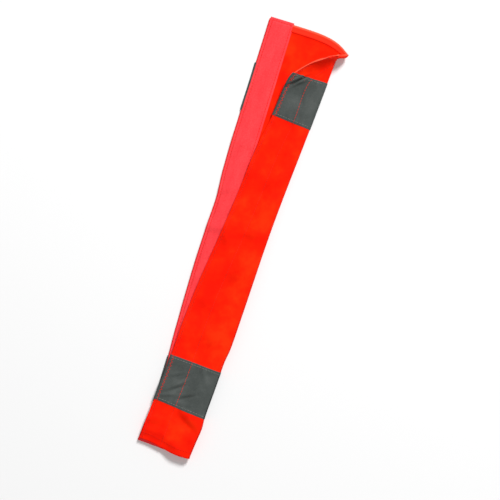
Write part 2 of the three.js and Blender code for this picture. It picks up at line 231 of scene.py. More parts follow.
def panel_point(t, v):
    """A point of the panel's middle surface. t is 0 at the loop tape's outer edge, 1 where the crease starts to roll,
    2 where it ends and 3 at the flap's free edge. Beyond 0 and 3 it carries straight on."""
    s = Section(v)
    on_back, on_roll = t <= 1, (t > 1) & (t <= 2)
    angle = np.clip(t - 1, 0, 1) * math.pi
    roll_x = s.back_width + s.reach * np.sin(angle)
    flap_x = s.back_width - (t - 2) * (s.back_width - s.edge)
    x = np.where(on_back, t * s.back_width, np.where(on_roll, roll_x, flap_x))

    from_edge = (3 - t) * s.flap_width
    rise = np.minimum(FLAP_RISE, s.flap_width)
    flat = np.minimum(s.flap_width / 2, s.flap_width - rise)
    roll_z = BACK_HEIGHT + s.height * (1 - np.cos(angle))
    flap_z = s.edge_height + (s.top - s.edge_height) * smooth((from_edge - flat) / rise)
    z = np.where(on_back, BACK_HEIGHT, np.where(on_roll, roll_z, flap_z)) + lie(t, x, from_edge, v)

    on_lower_half = t <= 1.5
    back_drop = s.drop * (np.maximum(x, 0) / s.crease) ** BEAK_SHARPNESS
    flap_drop = s.drop - (s.edge_shift + s.drop) * (s.crease - x) / (s.crease - s.edge)
    slant = np.where(on_lower_half, along(TAIL_SLANT, v, 2), along(TAIL_SLANT, v)) * (1 - x / s.crease)
    tail_wave = TAIL_WAVE * np.sin(x / 9.5 + 0.6) * smooth((v - TAIL_WAVE_START) / TAIL_WAVE_LENGTH) * smooth(t - 1)
    down = np.where(on_lower_half, back_drop, flap_drop) - slant - tail_wave

    tail_bend = TAIL_BEND * np.maximum((v - TAIL_BEND_START) / TAIL_BEND_LENGTH, 0) ** 2
    x = x + along(EDGE_WANDER, v) * smooth(1 - x / 40) * np.where(t < 1, 1, 0)
    return np.stack([BACK_EDGE_X + x - tail_bend, MOUTH_Y - v - down, z], -1)


def frame_at(t, v):
    """The point, the outward normal, and the direction across the panel towards the free edge."""
    h = 0.002
    across = panel_point(t + h, v) - panel_point(t - h, v)
    down = panel_point(t, v + 0.5) - panel_point(t, v - 0.5)
    across /= np.linalg.norm(across, axis=-1, keepdims=True)
    normal = np.cross(across, down)
    normal /= np.linalg.norm(normal, axis=-1, keepdims=True)
    return panel_point(t, v), normal, across


def from_back_edge(x, v):
    """t at a distance from the loop tape's outer edge, over the back and on round the crease."""
    s = Section(v)
    return np.where(x <= s.back_width, x / s.back_width, 1 + (x - s.back_width) / s.roll_length)


def from_free_edge(q, v):
    """t at a distance from the flap's free edge, over the flap and on round the crease."""
    s = Section(v)
    return np.where(q <= s.flap_width, 3 - q / s.flap_width, 2 - (q - s.flap_width) / s.roll_length)


def spread(w, kept, full):
    """Distances up to kept stay, and the others are stretched so that the widest reaches full."""
    return np.where(w < kept, w, kept + (w - kept) / (np.max(w) - kept) * (full - kept))


def over_back(w, v, kept=30):
    """t for a patch from the back's edge to the middle of the crease."""
    return from_back_edge(spread(w, kept, Section(v).back_to_crease), v)


def over_flap(w, v, kept=0):
    """t for a patch from the flap's free edge to the middle of the crease."""
    return from_free_edge(spread(w, kept, Section(v).flap_to_crease), v)


# ---- Sheets that follow the panel ----
def stations(start, end, step, edge):
    """Evenly spaced values, with three close ones at each end for a rounded edge."""
    count = max(int(round((end - start) / step)), 1)
    ends = edge * np.array([0.0, 0.08, 0.3])
    return np.r_[start + ends, np.linspace(start + edge, end - edge, count + 1), (end - ends)[::-1]]


def outwards(w):
    return np.zeros_like(w, dtype=float)


def inwards(w):
    return np.full_like(w, math.pi, dtype=float)


def level(value):
    return lambda w, v: np.full_like(w, value, dtype=float)


def quads(ids):
    return np.stack([ids[:-1, :-1], ids[:-1, 1:], ids[1:, 1:], ids[1:, :-1]], -1).reshape(-1, 4)


def inset(grid):
    return np.minimum(grid - grid.min(), grid.max() - grid)


def sheet(name, t_at, widths, rows, low, high, turn=outwards, edge_side=-1):
    """A closed thin body with rounded edges over a patch of the panel. widths are distances across the patch and t_at
    gives t for a distance and a row. low and high give the two faces' distances from the panel's middle, along the
    normal turned by turn: 0 is outwards, pi is inwards, and between them it goes round the panel's edge."""
    w, v = np.meshgrid(widths, rows)
    point, normal, across = frame_at(t_at(w, v), v)
    angle = turn(w)
    direction = normal * np.cos(angle)[..., None] + edge_side * across * np.sin(angle)[..., None]
    inner_face, outer_face = low(w, v), high(w, v)
    middle, half = (inner_face + outer_face) / 2, (outer_face - inner_face) / 2
    near = np.minimum(inset(w), inset(v)) / np.maximum(half, 1e-6)
    half = half * np.sqrt(np.clip(1 - (1 - np.clip(near, 0, 1)) ** 2, 0, 1))
    top = point + direction * (middle + half)[..., None]
    bottom = point + direction * (middle - half)[..., None]

    ids = np.arange(w.size).reshape(w.shape)
    inner = np.zeros(w.shape, bool)
    inner[1:-1, 1:-1] = True
    under = ids.copy()
    under[inner] = w.size + np.arange(inner.sum())
    verts = np.concatenate([top.reshape(-1, 3), bottom[inner]]) * MM
    faces = np.concatenate([quads(ids), quads(under)[:, ::-1]])
    mesh = bpy.data.meshes.new(name)
    mesh.from_pydata(verts.tolist(), [], faces.tolist())

    flat = np.stack([w, v], -1).reshape(-1, 2) * MM
    flat = np.concatenate([flat, flat[inner.reshape(-1)]])
    loops = np.empty(len(mesh.loops), np.int32)
    mesh.loops.foreach_get("vertex_index", loops)
    uv = mesh.uv_layers.new(name="across_along")
    uv.data.foreach_set("uv", flat[loops].astype(np.float32).ravel())
    mesh.shade_smooth()
    face_outwards(mesh)
    return linked(name, mesh)


def face_outwards(mesh):
    """Turns a closed body's faces outwards if they point in."""
    mesh.calc_loop_triangles()
    co = np.empty(len(mesh.vertices) * 3)
    mesh.vertices.foreach_get("co", co)
    corners = np.empty(len(mesh.loop_triangles) * 3, np.int32)
    mesh.loop_triangles.foreach_get("vertices", corners)
    a, b, c = (co.reshape(-1, 3)[corners.reshape(-1, 3)[:, k]] for k in range(3))
    if np.einsum("ij,ij->i", a, np.cross(b, c)).sum() < 0:
        mesh.flip_normals()


def linked(name, data):
    obj = bpy.data.objects.new(name, data)
    bpy.context.scene.collection.objects.link(obj)
    return obj


# ---- Materials ----
def material(name, colour, roughness, **sockets):
    mat = bpy.data.materials.new(name)
    mat.use_nodes = True
    shader = mat.node_tree.nodes["Principled BSDF"]
    shader.inputs["Base Color"].default_value = (*colour, 1)
    shader.inputs["Roughness"].default_value = roughness
    for key, value in sockets.items():
        shader.inputs[key.replace("_", " ")].default_value = value
    return mat, mat.node_tree, shader


def node(tree, kind, **values):
    """A node with its inputs or, where it has no such input, its properties set."""
    made = tree.nodes.new(kind)
    for key, value in values.items():
        if key in made.inputs:
            made.inputs[key].default_value = value
        else:
            setattr(made, key, value)
    return made


def panel_coordinates(tree):
    """Distances across and along the sleeve, in metres."""
    return node(tree, "ShaderNodeUVMap", uv_map="across_along").outputs["UV"]


def across_and_along(tree):
    parts = node(tree, "ShaderNodeSeparateXYZ")
    tree.links.new(panel_coordinates(tree), parts.inputs["Vector"])
    return parts.outputs["X"], parts.outputs["Y"]


def scaled(tree, sx, sy):
    mapping = node(tree, "ShaderNodeMapping", Scale=(sx, sy, 1))
    tree.links.new(panel_coordinates(tree), mapping.inputs["Vector"])
    return mapping.outputs["Vector"]


def ribs(tree, pitch, direction, distortion=0.0):
    """Ribs at a pitch in metres: the wave's period is 2 pi over 20 times the vector's scale."""
    scale = 2 * math.pi / 20 / pitch
    made = node(tree, "ShaderNodeTexWave", bands_direction=direction, Scale=1.0, Distortion=distortion)
    tree.links.new(scaled(tree, scale, scale), made.inputs["Vector"])
    return made.outputs["Fac"]


def noise(tree, vector, scale, detail=2.0, roughness=0.5):
    made = node(tree, "ShaderNodeTexNoise", Scale=scale, Detail=detail, Roughness=roughness)
    tree.links.new(vector, made.inputs["Vector"])
    return made.outputs["Fac"]


def cells(tree, vector, scale):
    made = node(tree, "ShaderNodeTexVoronoi", Scale=scale)
    tree.links.new(vector, made.inputs["Vector"])
    return made.outputs["Distance"]


def maths(tree, operation, a, b=0):
    made = node(tree, "ShaderNodeMath", operation=operation)
    for socket, value in zip(made.inputs, (a, b)):
        if isinstance(value, (int, float)):
            socket.default_value = value
        else:
            tree.links.new(value, socket)
    return made.outputs["Value"]


def mixed(tree, a, share_a, b, share_b):
    return maths(tree, "ADD", maths(tree, "MULTIPLY", a, share_a), maths(tree, "MULTIPLY", b, share_b))


def colours(tree, factor, stops):
    ramp = tree.nodes.new("ShaderNodeValToRGB")
    elements = ramp.color_ramp.elements
    while len(elements) < len(stops):
        elements.new(0.5)
    for element, (position, colour) in zip(elements, stops):
        element.position = position
        element.color = (*colour, 1)
    tree.links.new(factor, ramp.inputs["Fac"])
    return ramp.outputs["Color"]


def bump(tree, shader, height, distance, strength):
    made = node(tree, "ShaderNodeBump", Strength=strength, Distance=distance)
    tree.links.new(height, made.inputs["Height"])
    tree.links.new(made.outputs["Normal"], shader.inputs["Normal"])


def object_coordinates(tree):
    return node(tree, "ShaderNodeTexCoord").outputs["Object"]


def below(tree, value, start, end):
    """1 where value is below start, falling to 0 at end."""
    made = node(tree, "ShaderNodeMapRange", interpolation_type="SMOOTHSTEP")
    tree.links.new(value, made.inputs["Value"])
    for key, number in (("From Min", start), ("From Max", end), ("To Min", 1), ("To Max", 0)):
        made.inputs[key].default_value = number
    return made.outputs["Result"]


def above(tree, value, start, end):
    return maths(tree, "SUBTRACT", 1, below(tree, value, start, end))


def tinted(tree, colour, factor, strength, tint):
    made = node(tree, "ShaderNodeMix", data_type="RGBA")
    tree.links.new(maths(tree, "MULTIPLY", factor, strength), made.inputs["Factor"])
    first, second, result = made.inputs[6], made.inputs[7], made.outputs[2]      # the node's colour sockets
    tree.links.new(colour, first)
    second.default_value = (*tint, 1)
    return result


# Pitches of the fabrics' ribs, in metres.
WALES, COURSES, TWILL, TAPE_WEAVE = 0.0013, 0.0010, 0.0009, 0.0008
# Where the cloth's colour changes, painted shade and highlights included, in metres: a change starts at the first
# value and ends at the second.
HEM_SHADE = (0.0068, 0.0072)
HEM_LINE, HEM_LINE_WIDTH = 0.0077, (0.0002, 0.0007)
# Where a painted highlight lightens the rim and the flap's rolled edge.
RIM_HIGHLIGHT = (0.0012, 0.0024)
EDGE_HIGHLIGHT, EDGE_HIGHLIGHT_ALONG = (0.0020, 0.0030), (0.044, 0.062)
EDGE_SHADE = (-0.0003, 0.0003)
# Where painted shade darkens the cloth's and the bands' crease.
CLOTH_FOLD, BAND_FOLD = (0.0034, 0.0022), (0.0036, 0.0024)       # measured back from the crease

SHADED_RED = (0.4, 0.0, 0.0)
# Painted shadow along the hem's cut edge.
HEM_SHADOW_RED = (0.45, 0.0, 0.0)
HEM_RED = (1.0, 0.06, 0.03)
# The colour of the painted highlight.
HIGHLIGHT_RED = (1.0, 0.11, 0.06)
# The colour of the painted shade along a band's crease.
BAND_CREASE_SHADE = (0.006, 0.008, 0.008)


def knit_cloth(name, rolled_edge, crease_at):
    """Fluorescent knitted polyester: fine wales along the sleeve crossed by courses, with a soft uneven dye. The rim
    and, on the flap, the rolled edge near the mouth get a painted highlight. Painted shade darkens a line at the hem's
    cut edge, the outer edge where there is no rolled edge, and the crease. crease_at is the crease's distance across,
    in metres."""
    # The small steady emission is a painted glow that stands in for the dye's fluorescence.
    mat, tree, shader = material(name, (1.0, 0.014, 0.0008), 0.85, Sheen_Weight=0.05,
                                 Sheen_Roughness=0.5, Sheen_Tint=(1.0, 0.08, 0.02, 1), Specular_IOR_Level=0.06,
                                 Emission_Color=(1.0, 0.008, 0.0, 1), Emission_Strength=0.06)
    knit = maths(tree, "MULTIPLY", ribs(tree, WALES, "X"), ribs(tree, COURSES, "Y"))
    place = object_coordinates(tree)
    fuzz = noise(tree, place, 2600, 3, 0.6)
    bump(tree, shader, mixed(tree, knit, 0.8, fuzz, 0.5), 0.00010, 0.6)
    dye = noise(tree, place, 34, 4, 0.6)
    colour = colours(tree, mixed(tree, dye, 0.94, knit, 0.06), [
        (0.36, (0.84, 0.007, 0.0006)), (0.5, (0.91, 0.013, 0.0008)), (0.64, (0.97, 0.026, 0.0016))])

    across, down = across_and_along(tree)
    colour = tinted(tree, colour, below(tree, down, *HEM_SHADE), 0.35, HEM_RED)
    # A painted highlight: the rim and, on the flap, the rolled edge near the mouth are tinted lighter, as if lit.
    highlit = below(tree, down, *RIM_HIGHLIGHT)
    if rolled_edge:
        edge = maths(tree, "MULTIPLY", below(tree, across, *EDGE_HIGHLIGHT), below(tree, down, *EDGE_HIGHLIGHT_ALONG))
        highlit = maths(tree, "MAXIMUM", highlit, edge)
    colour = tinted(tree, colour, highlit, 0.85, HIGHLIGHT_RED)
    if not rolled_edge:
        colour = tinted(tree, colour, below(tree, across, *EDGE_SHADE), 0.55, SHADED_RED)
    # A painted shadow line along the hem's cut edge, where the hem's step would cast it.
    off_hem_line = maths(tree, "ABSOLUTE", maths(tree, "SUBTRACT", down, HEM_LINE))
    colour = tinted(tree, colour, below(tree, off_hem_line, *HEM_LINE_WIDTH), 0.6, HEM_SHADOW_RED)
    # Painted shade along the crease, where the cloth turns away from the light.
    colour = tinted(tree, colour, above(tree, across, *(crease_at - d for d in CLOTH_FOLD)), 0.6, SHADED_RED)
    tree.links.new(colour, shader.inputs["Base Color"])
    return mat


def reflective_fabric(name, crease_at):
    """Dark grey reflective weave: a tight twill under a layer of glass beads, with painted shade along the crease."""
    mat, tree, shader = material(name, (0.075, 0.082, 0.078), 0.62, Specular_IOR_Level=0.22,
                                 Sheen_Weight=0.04, Sheen_Roughness=0.4)
    twill = ribs(tree, TWILL, "DIAGONAL", 0.3)
    place = object_coordinates(tree)
    bump(tree, shader, mixed(tree, twill, 0.7, cells(tree, place, 3200), 0.5), 0.00012, 0.7)
    wear, grain = noise(tree, place, 55, 5, 0.65), noise(tree, place, 900, 2, 0.6)
    colour = colours(tree, mixed(tree, wear, 0.7, grain, 0.3), [
        (0.3, (0.044, 0.053, 0.049)), (0.52, (0.066, 0.076, 0.071)), (0.75, (0.098, 0.106, 0.100))])
    across, _ = across_and_along(tree)
    # Painted shade along the crease, where the band turns away from the light.
    fold = above(tree, across, *(crease_at - d for d in BAND_FOLD))
    tree.links.new(tinted(tree, colour, fold, 0.85, BAND_CREASE_SHADE), shader.inputs["Base Color"])
    return mat


def pile():
    """Loop tape: napped loops in a woven ground."""
    # The small steady emission is a painted glow.
    mat, tree, shader = material("loop_pile", (1.0, 0.055, 0.065), 0.92, Sheen_Weight=0.2, Sheen_Roughness=0.6,
                                 Sheen_Tint=(1.0, 0.3, 0.3, 1), Specular_IOR_Level=0.06,
                                 Emission_Color=(1.0, 0.02, 0.02, 1), Emission_Strength=0.05)
    place = object_coordinates(tree)
    nap = noise(tree, place, 700, 4, 0.7)
    bump(tree, shader, mixed(tree, cells(tree, place, 1300), 0.7, nap, 0.8), 0.0005, 0.9)
    brushed = noise(tree, scaled(tree, 90, 22), 1.0, 5, 0.7)
    colour = colours(tree, mixed(tree, brushed, 0.55, nap, 0.45), [
        (0.3, (0.78, 0.030, 0.040)), (0.5, (0.90, 0.052, 0.062)), (0.7, (0.96, 0.085, 0.092))])
    tree.links.new(colour, shader.inputs["Base Color"])
    return mat


def shades(colour, dark, light):
    return [c * dark for c in colour], [min(c * light, 1) for c in colour]


def woven_ground(name, colour, roughness):
    """The tight plain weave of a tape's ground, and the moulded hooks in it."""
    mat, tree, shader = material(name, colour, roughness, Specular_IOR_Level=0.4)
    weave = ribs(tree, TAPE_WEAVE, "Y")
    grain = noise(tree, object_coordinates(tree), 1500, 3, 0.6)
    bump(tree, shader, maths(tree, "ADD", weave, grain), 0.0001, 0.6)
    dark, light = shades(colour, 0.8, 1.15)
    tree.links.new(colours(tree, grain, [(0.3, dark), (0.7, light)]), shader.inputs["Base Color"])
    return mat


def sewing_thread(name, colour):
    """Twisted thread: fine slanting plies."""
    mat, tree, shader = material(name, colour, 0.7, Specular_IOR_Level=0.15)
    plies = node(tree, "ShaderNodeTexWave", bands_direction="DIAGONAL", Scale=1400, Distortion=1.0)
    tree.links.new(object_coordinates(tree), plies.inputs["Vector"])
    bump(tree, shader, plies.outputs["Fac"], 0.00006, 0.8)
    dark, light = shades(colour, 0.7, 1.3)
    tree.links.new(colours(tree, plies.outputs["Fac"], [(0.2, dark), (0.8, light)]), shader.inputs["Base Color"])
    return mat


# Nominal widths of the patches that the pieces are made from. over_back and over_flap fit them to the crease.
EDGE_TURN = 1.2                                  # length of a band that goes round the panel's edge
BACK_PATCH, FLAP_PATCH = 80, 60
BACK_BAND_PATCH = 81 + EDGE_TURN + EDGE_OUT
FLAP_BAND_PATCH = FLAP_PATCH + EDGE_TURN

BACK_CLOTH = knit_cloth("fluorescent_cloth_back", False, BACK_PATCH * MM)
FLAP_CLOTH = knit_cloth("fluorescent_cloth_flap", True, FLAP_PATCH * MM)
BACK_BAND = reflective_fabric("reflective_weave_back", BACK_BAND_PATCH * MM)
FLAP_BAND = reflective_fabric("reflective_weave_flap", FLAP_BAND_PATCH * MM)
PILE_FINISH = pile()
HOOK_FINISH = woven_ground("hook_tape_red", (0.85, 0.035, 0.02), 0.6)
RED_THREAD = sewing_thread("red_thread", (0.72, 0.018, 0.006))
GREY_THREAD = sewing_thread("grey_thread", (0.20, 0.215, 0.20))
TAPE_THREAD = sewing_thread("cloth_red_thread", (0.80, 0.010, 0.002))


def finish(obj, finish_material, nodes, body):
    """Gives a piece its material, hides the frame's nodes that it stands for, and hangs it on its body.
    Pieces of the flap have their placement baked into the mesh instead of hanging on a body."""
    if finish_material:
        obj.data.materials.clear()
        obj.data.materials.append(finish_material)
    if body == "fold":
        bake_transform(obj)
    else:
        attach(obj, body)
    if nodes:
        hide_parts(*nodes)
    return obj


# ---- The cloth panel, one piece of cloth on either side of its crease ----
def from_rim(v):
    """Distance from the nearer end of the sleeve."""
    return np.minimum(v, LENGTH - v)


def rim(v):
    """The fold of the mouth's and the tail's hem."""
    return RIM_RIDGE * np.exp(-((from_rim(v) - 0.8) ** 2))


def hem_inside(v):
    """The hem's inner layer, with a ridge along its folded-under cut edge."""
    layer = 1 - smooth((from_rim(v) - HEM + 0.4) / 0.5)
    ridge = np.exp(-((from_rim(v) - HEM_SEAM) / 0.9) ** 2)
    return (HEM_STEP + RIM_RIDGE * ridge) * layer + rim(v)


def edge_roll(distance, v=LENGTH):
    """The turned long edge is thicker, and near the mouth it has rolled up into a bead."""
    rolled = smooth((BEAD_END - v) / BEAD_FADE)
    return (BEAD + (BEAD_ROLLED - BEAD) * rolled) * np.exp(-(((distance - 0.9 * rolled) / (1.3 + 0.3 * rolled)) ** 2))


def panel():
    rows = stations(0, LENGTH, 1.6, CLOTH)

    def back_inside(w, v):
        beside_tape = smooth((w - TAPE_WIDTH + 2) / 2)
        return -CLOTH / 2 - hem_inside(v) * beside_tape - edge_roll(w + EDGE_OUT)

    def back_outside(w, v):
        return CLOTH / 2 + edge_roll(w + EDGE_OUT) + rim(v)

    def flap_inside(w, v):
        beside_tape = smooth((w - TAPE_WIDTH - TAPE_INSET + 1) / 2)
        return -CLOTH / 2 - hem_inside(v) * beside_tape - edge_roll(w, v)

    def flap_outside(w, v):
        return CLOTH / 2 + edge_roll(w, v) + rim(v)

    back = sheet("panel_back", over_back, stations(-EDGE_OUT, BACK_PATCH, 1.5, CLOTH), rows, back_inside, back_outside)
    flap = sheet("panel_flap", over_flap, stations(0, FLAP_PATCH, 1.2, CLOTH), rows, flap_inside, flap_outside)
    finish(back, BACK_CLOTH, ["shell_back", "shell_fold"], "back")
    finish(flap, FLAP_CLOTH, ["shell_flap", "shell_mouth"], "fold")
    return back, flap


# ---- Reflective bands, wrapped round the panel's long edges ----
WRAP_IN = 0.8                                    # how far a band's end turns in beside the tape


def turned(w):
    """Turns inwards round the edge as w goes from EDGE_TURN down to 0."""
    return math.pi * (1 - smooth(w / EDGE_TURN))


def from_edge_fold(w):
    """Distance from the panel's edge for a distance along a band that starts inside it and goes round it."""
    return np.where(w > EDGE_TURN, w - EDGE_TURN, np.maximum(-w, 0))


def band(name, start):
    rows = stations(start, start + BAND_WIDTH, 1.2, BAND)

    def inner(w, v):
        return CLOTH / 2 + NEAR + edge_roll(np.maximum(w - EDGE_TURN, 0), v)

    def outer(w, v):
        return inner(w, v) + BAND

    def round_back(w, v):
        return over_back(from_edge_fold(w) - EDGE_OUT, v)

    def round_flap(w, v):
        return over_flap(from_edge_fold(w), v, kept=3)

    back = sheet(f"{name}_band_back_half", round_back, stations(-WRAP_IN, BACK_BAND_PATCH, 1.2, BAND), rows,
                 inner, outer, turned, -1)
    flap = sheet(f"{name}_band_flap_half", round_flap, stations(-WRAP_IN, FLAP_BAND_PATCH, 1.0, BAND), rows,
                 inner, outer, turned, 1)
    finish(back, BACK_BAND, [f"{name}_band_back", f"{name}_band_fold"], "back")
    finish(flap, FLAP_BAND, [f"{name}_band_flap"], "fold")
    return back, flap


# ---- Stitching: a Geometry Nodes tree puts one thread on every edge of a path through the needle holes ----
def link(tree, a, out, b, into):
    tree.links.new(a.outputs[out], b.inputs[into])


def stitch_tree():
    tree = bpy.data.node_groups.new("stitch_row", "GeometryNodeTree")
    face = tree.interface
    face.new_socket("Geometry", in_out="INPUT", socket_type="NodeSocketGeometry")
    for name, value in (("Thread", THREAD * MM), ("Fill", 0.84)):
        face.new_socket(name, in_out="INPUT", socket_type="NodeSocketFloat").default_value = value
    for name, value in (("Segments", 8), ("Rings", 6)):
        face.new_socket(name, in_out="INPUT", socket_type="NodeSocketInt").default_value = value
    face.new_socket("Finish", in_out="INPUT", socket_type="NodeSocketMaterial")
    face.new_socket("Geometry", in_out="OUTPUT", socket_type="NodeSocketGeometry")
    source = node(tree, "NodeGroupInput")

    # Each edge becomes a point that remembers the edge's run.
    ends = node(tree, "GeometryNodeInputMeshEdgeVertices")
    run = node(tree, "ShaderNodeVectorMath", operation="SUBTRACT")
    link(tree, ends, "Position 2", run, 0)
    link(tree, ends, "Position 1", run, 1)
    keep = node(tree, "GeometryNodeCaptureAttribute", domain="EDGE")
    keep.capture_items.new("VECTOR", "run")
    link(tree, source, "Geometry", keep, "Geometry")
    link(tree, run, "Vector", keep, "run")
    points = node(tree, "GeometryNodeMeshToPoints", mode="EDGES")
    link(tree, keep, "Geometry", points, "Mesh")

    # The thread is a ball drawn out along the run.
    ball = node(tree, "GeometryNodeMeshUVSphere", Radius=0.5)
    link(tree, source, "Segments", ball, "Segments")
    link(tree, source, "Rings", ball, "Rings")
    thread = node(tree, "GeometryNodeSetShadeSmooth")
    link(tree, ball, "Mesh", thread, "Geometry")
    turn = node(tree, "FunctionNodeAlignRotationToVector", axis="Z")
    link(tree, keep, "run", turn, "Vector")
    length = node(tree, "ShaderNodeVectorMath", operation="LENGTH")
    link(tree, keep, "run", length, 0)
    filled = node(tree, "ShaderNodeMath", operation="MULTIPLY")
    link(tree, length, "Value", filled, 0)
    link(tree, source, "Fill", filled, 1)
    size = node(tree, "ShaderNodeCombineXYZ")
    link(tree, source, "Thread", size, "X")
    link(tree, source, "Thread", size, "Y")
    link(tree, filled, "Value", size, "Z")
    place = node(tree, "GeometryNodeInstanceOnPoints")
    link(tree, points, "Points", place, "Points")
    link(tree, thread, "Geometry", place, "Instance")
    link(tree, turn, "Rotation", place, "Rotation")
    link(tree, size, "Vector", place, "Scale")

    real = node(tree, "GeometryNodeRealizeInstances")
    link(tree, place, "Instances", real, "Geometry")
    coat = node(tree, "GeometryNodeSetMaterial")
    link(tree, real, "Geometry", coat, "Geometry")
    link(tree, source, "Finish", coat, "Material")
    link(tree, coat, "Geometry", node(tree, "NodeGroupOutput"), "Geometry")
    return tree


STITCH_TREE = stitch_tree()


def baked(obj, tree, values):
    """Runs a Geometry Nodes tree on obj, whose data becomes the plain mesh that the tree makes."""
    modifier = obj.modifiers.new(tree.name, "NODES")
    modifier.node_group = tree
    for item in tree.interface.items_tree:
        if item.in_out == "INPUT" and item.name in values:
            modifier[item.identifier] = values[item.name]
    bpy.context.view_layer.update()
    evaluated = obj.evaluated_get(bpy.context.evaluated_depsgraph_get())
    path, obj_mesh = obj.data, bpy.data.meshes.new_from_object(evaluated)
    obj.modifiers.remove(modifier)
    obj.data = obj_mesh
    bpy.data.meshes.remove(path)
    obj_mesh.name = obj.name
    return obj


def stitches(name, paths, thread_material, thread=THREAD, fill=0.84, segments=8, rings=6):
    """paths are lists of needle holes, in metres. fill is how much of the way between two holes a stitch covers."""
    verts, edges = [], []
    for path in paths:
        first = len(verts)
        verts += [tuple(p) for p in path]
        edges += [(first + i, first + i + 1) for i in range(len(path) - 1)]
    mesh = bpy.data.meshes.new(name)
    mesh.from_pydata(verts, edges, [])
    return baked(linked(name, mesh), STITCH_TREE, {
        "Thread": thread * MM, "Fill": fill, "Finish": thread_material, "Segments": segments, "Rings": rings})


def holes(t, v, distance, inward=False):
    """Needle holes at a distance from the panel's middle, outside it or inside the fold."""
    point, normal, _ = frame_at(np.asarray(t, float), np.asarray(v, float))
    sign = -1 if inward else 1
    return (point + normal * sign * np.broadcast_to(distance, v.shape)[..., None]) * MM


# ---- Hook-and-loop tapes ----
GROUND_START = CLOTH / 2 + NEAR                  # a tape's sewn-down face, from the panel's middle
GROUND_TOP = GROUND_START + TAPE_GROUND
TAPE_BORDER = 1.9                                # a tape's flat woven border
TAPE_SHORT = 0.6                                 # a tape's end stops this far inside the tail rim
PILE = 0.62                                      # the raised bed of loops
NAP_MARGIN, NAP_PITCH = 3.6, 1.15
HOOK_MARGIN, HOOK_PITCH = 3.4, 1.5


def standing(name, t_at, widths, rows, low, high, lean, finish_material, **shape):
    """Loops or hooks that stand on a tape, in staggered rows with a little jitter."""
    rng = np.random.default_rng(11)
    w, v = np.meshgrid(widths, rows)
    w = w + np.where(np.arange(len(rows)) % 2, 0.5, 0)[:, None] * (widths[1] - widths[0])
    w = (w + rng.normal(0, 0.06, w.shape)).ravel()
    v = v.ravel() + rng.normal(0, 0.06, w.shape)
    foot = holes(t_at(w, v), v, low, True)
    tip_t = t_at(w, v + lean * rng.choice((-1, 1), w.shape))
    tip = holes(tip_t, v + lean, high + rng.normal(0, 0.05, w.shape), True)
    return stitches(name, list(zip(foot, tip)), finish_material, **shape)


def loop_tape():
    widths = stations(0, TAPE_WIDTH, 0.6, 0.25)
    rows = stations(-TAPE_PROUD, LENGTH - TAPE_SHORT, 1.0, 0.25)
    unevenness = np.random.default_rng(5).uniform(-1, 1, (len(rows), len(widths)))

    def top(w, v):
        inside = np.minimum(w, TAPE_WIDTH - w)
        raised = smooth((inside - TAPE_BORDER - 0.6) / 0.8) * smooth((v + TAPE_PROUD - 3.2) / 0.8)
        sunk = np.exp(-(((inside - SEAM_INSET) / 0.5) ** 2))
        return GROUND_TOP + raised * (PILE + 0.07 * unevenness) - 0.3 * sunk

    tape = sheet("loop_tape_pile", from_back_edge, widths, rows, level(GROUND_START), top, inwards)
    finish(tape, PILE_FINISH, ["loop_tape"], "back")
    nap = standing("loop_tape_nap", from_back_edge, np.arange(NAP_MARGIN, TAPE_WIDTH - NAP_MARGIN, NAP_PITCH),
                   np.arange(NAP_MARGIN, LENGTH - 4, NAP_PITCH), GROUND_START + 0.7, GROUND_START + 1.3, 0.15,
                   PILE_FINISH, thread=0.85, fill=1.3, segments=5, rings=3)
    finish(nap, None, [], "back")
    return tape


def on_hook_tape(w, v):
    """t on the hook tape, which narrows near the mouth where the flap is narrower than the tape."""
    reach = np.minimum(TAPE_WIDTH, Section(v).flap_to_crease - 1 - TAPE_INSET)
    return from_free_edge(TAPE_INSET + (w - TAPE_INSET) / TAPE_WIDTH * reach, v)


def hook_tape():
    far_side = TAPE_INSET + TAPE_WIDTH
    tape = sheet("hook_tape_ground", on_hook_tape, stations(TAPE_INSET, far_side, 1.0, 0.25),
                 stations(TAPE_SHORT, LENGTH - TAPE_SHORT, 1.6, 0.25), level(GROUND_START), level(GROUND_TOP), inwards)
    finish(tape, HOOK_FINISH, ["hook_tape", "hook_tape_mouth"], "fold")
    hooks = standing("hook_tape_hooks", on_hook_tape,
                     np.arange(TAPE_INSET + HOOK_MARGIN, far_side - HOOK_MARGIN, HOOK_PITCH),
                     np.arange(3, LENGTH - 4, HOOK_PITCH), GROUND_START + 0.4, GROUND_START + 1.25, 0.3,
                     HOOK_FINISH, thread=0.32, fill=1.1, segments=5, rings=3)
    finish(hooks, None, [], "fold")
    return tape


# ---- Stitch rows ----
ON_CLOTH = CLOTH / 2 + 0.12                      # a stitch's height, from the panel's middle
ON_BAND = CLOTH / 2 + NEAR + BAND + 0.12
IN_CLOTH = CLOTH / 2 + 0.08                      # the same inside the fold
IN_HEM = IN_CLOTH + HEM_STEP
BESIDE_TAPE = TAPE_WIDTH + 1                     # where a row across the inside of the back starts
ROW_START, ROW_END = 0.6, LENGTH - 2             # where most rows start, and where the tapes' long rows end
ZIGZAG_INSET, ZIGZAG_WIDTH, ZIGZAG_PITCH = 1.4, 2.6, 1.9


def over_bands(v):
    """A flap row's height: on the cloth, and on the bands where it crosses them."""
    on = sum(smooth((v - s + 0.4) / 0.8) * smooth((s + BAND_WIDTH + 0.4 - v) / 0.8) for s in (UPPER_BAND, LOWER_BAND))
    return ON_CLOTH + (ON_BAND - ON_CLOTH) * on


def row(start, end, pitch=PITCH):
    return np.linspace(start, end, int(round((end - start) / pitch)) + 1)


def row_across_flap(v0, distance):
    q = row(ROW_START, float(Section(np.array(v0, float)).flap_to_crease))
    v = np.full_like(q, v0)
    return holes(from_free_edge(q, v), v, distance)


def row_across_back(v0, distance, start, inward):
    x = row(start, float(Section(np.array(v0, float)).back_to_crease) - 1)
    v = np.full_like(x, v0)
    return holes(from_back_edge(x, v), v, distance, inward)


